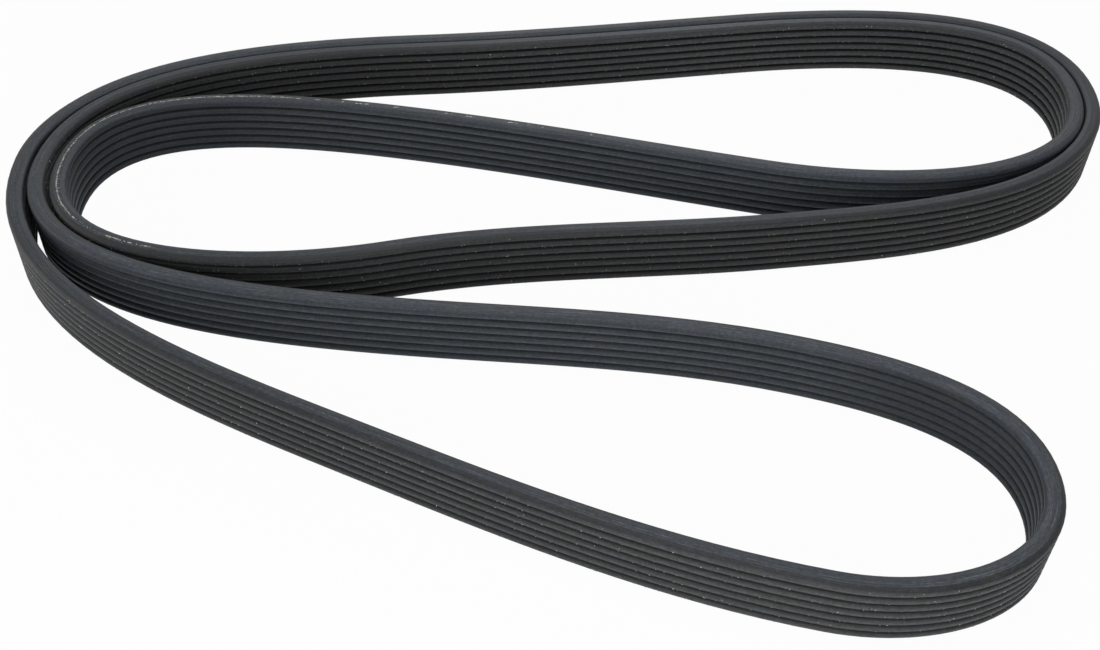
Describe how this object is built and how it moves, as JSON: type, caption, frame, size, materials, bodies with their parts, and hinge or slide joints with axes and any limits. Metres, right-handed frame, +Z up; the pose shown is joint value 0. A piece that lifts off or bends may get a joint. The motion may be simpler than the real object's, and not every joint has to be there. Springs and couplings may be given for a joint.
{
  "type": "serpentine belt",
  "caption": "Endless double-sided ribbed rubber drive belt, standing on its edge and folded into a long loop with a lobe.",
  "frame": {"origin": "middle of the folded belt's plan outline, on the surface that its lower edge stands on", "axes": "+Z up across the belt's width, +X along the folded loop's length towards the end with the two right-hand bends, +Y towards the double strand at the back"},
  "size_m": [0.4452, 0.3236, 0.0249],
  "materials": {
    "belt_rubber": "satin black rubber, fibre-filled, faintly bluish on one face and brownish on the other"
  },
  "bodies": {
    "root": {"serpentine_belt": "belt_rubber"}
  },
  "joints": []
}
